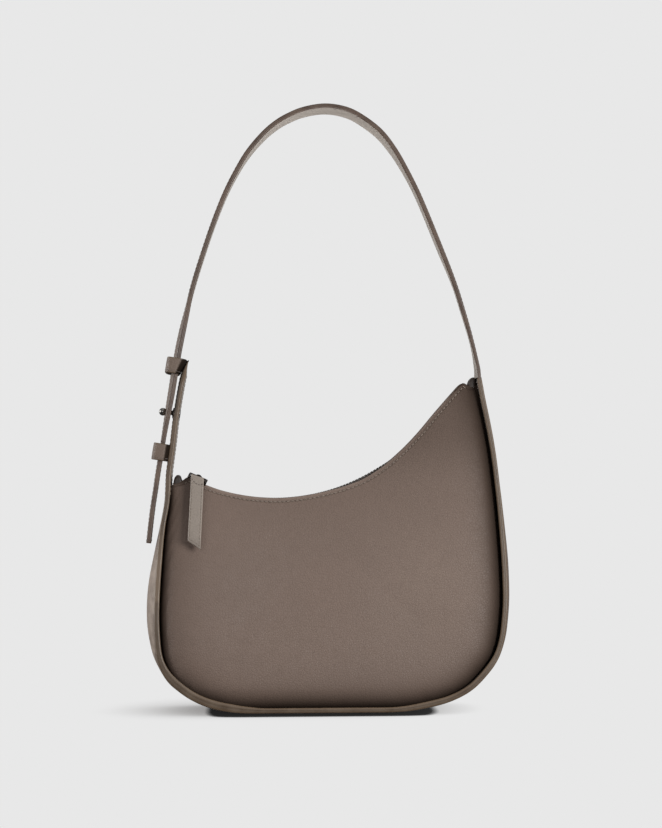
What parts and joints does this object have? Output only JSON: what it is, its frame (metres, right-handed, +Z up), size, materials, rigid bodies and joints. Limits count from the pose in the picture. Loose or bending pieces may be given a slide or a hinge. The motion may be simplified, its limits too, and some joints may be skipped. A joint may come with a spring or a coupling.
{
  "type": "shoulder bag",
  "caption": "Half-moon leather shoulder bag with a curved zip opening, a deep side band, a wide looped shoulder strap and a ball stud that sets the strap's length.",
  "frame": {"origin": "middle of the flat base, on the ground", "axes": "+X to the bag's right seen from the front, +Y to the back, +Z up; the front faces -Y"},
  "size_m": [0.2692, 0.079, 0.4595],
  "materials": {
    "leather": "fine-grained semi-matt taupe leather",
    "leather_band": "fine-grained taupe leather with dark painted edges",
    "leather_inner": "smooth matt leather, lighter than the outside",
    "leather_pull": "fine-grained leather, stitched",
    "lining": "woven cotton lining",
    "zip_tape": "woven polyester tape",
    "zip_metal": "darkened metal",
    "dark_metal": "darkened metal",
    "polished_metal": "polished",
    "steel": "plain",
    "board": "stiff fibre board"
  },
  "bodies": {
    "bag": {"front_panel": "leather", "back_panel": "leather", "gusset_outer": "leather_band", "gusset_inner": "leather_inner", "gusset_lining": "lining", "front_lining": "lining", "back_lining": "lining", "front_edge_facing": "leather_inner", "back_edge_facing": "leather_inner", "front_zip_tape": "zip_tape", "back_zip_tape": "zip_tape", "front_zip_teeth": "zip_metal", "back_zip_teeth": "zip_metal", "zip_top_stops": "zip_metal", "zip_bottom_stop": "zip_metal", "zip_end_tab_left": "leather", "zip_end_tab_right": "leather", "base_board": "board", "slip_pocket": "lining"},
    "slider": {"zip_slider": "dark_metal"},
    "ring": {"pull_ring": "dark_metal"},
    "tab": {"pull_tab": "leather_pull"},
    "strap": {"strap_outer": "leather_band", "strap_lining": "leather_inner", "stud_tab_outer": "leather_band", "stud_tab_lining": "leather_inner", "stud_head": "polished_metal", "stud_screw": "steel", "keeper_upper": "leather_band", "keeper_lower": "leather_band"}
  },
  "joints": [
    {"name": "strap_swing", "type": "hinge", "parent": "bag", "child": "strap", "pos_m": [-0.118, 0, 0.177], "axis": [0.9546, 0, 0.298], "range_deg": [-75, 75]},
    {"name": "slider_travel", "type": "hinge", "parent": "bag", "child": "slider", "pos_m": [-0.0394, 0, 0.3074], "axis": [0, -1, 0], "range_deg": [0, 77]},
    {"name": "ring_swing", "type": "hinge", "parent": "slider", "child": "ring", "pos_m": [-0.09635, 0, 0.17579], "axis": [-0.9178, 0, 0.3971], "range_deg": [0, 170]},
    {"name": "tab_swing", "type": "hinge", "parent": "ring", "child": "tab", "pos_m": [-0.09635, -0.0135, 0.17579], "axis": [-0.9178, 0, 0.3971], "range_deg": [0, 110]}
  ]
}
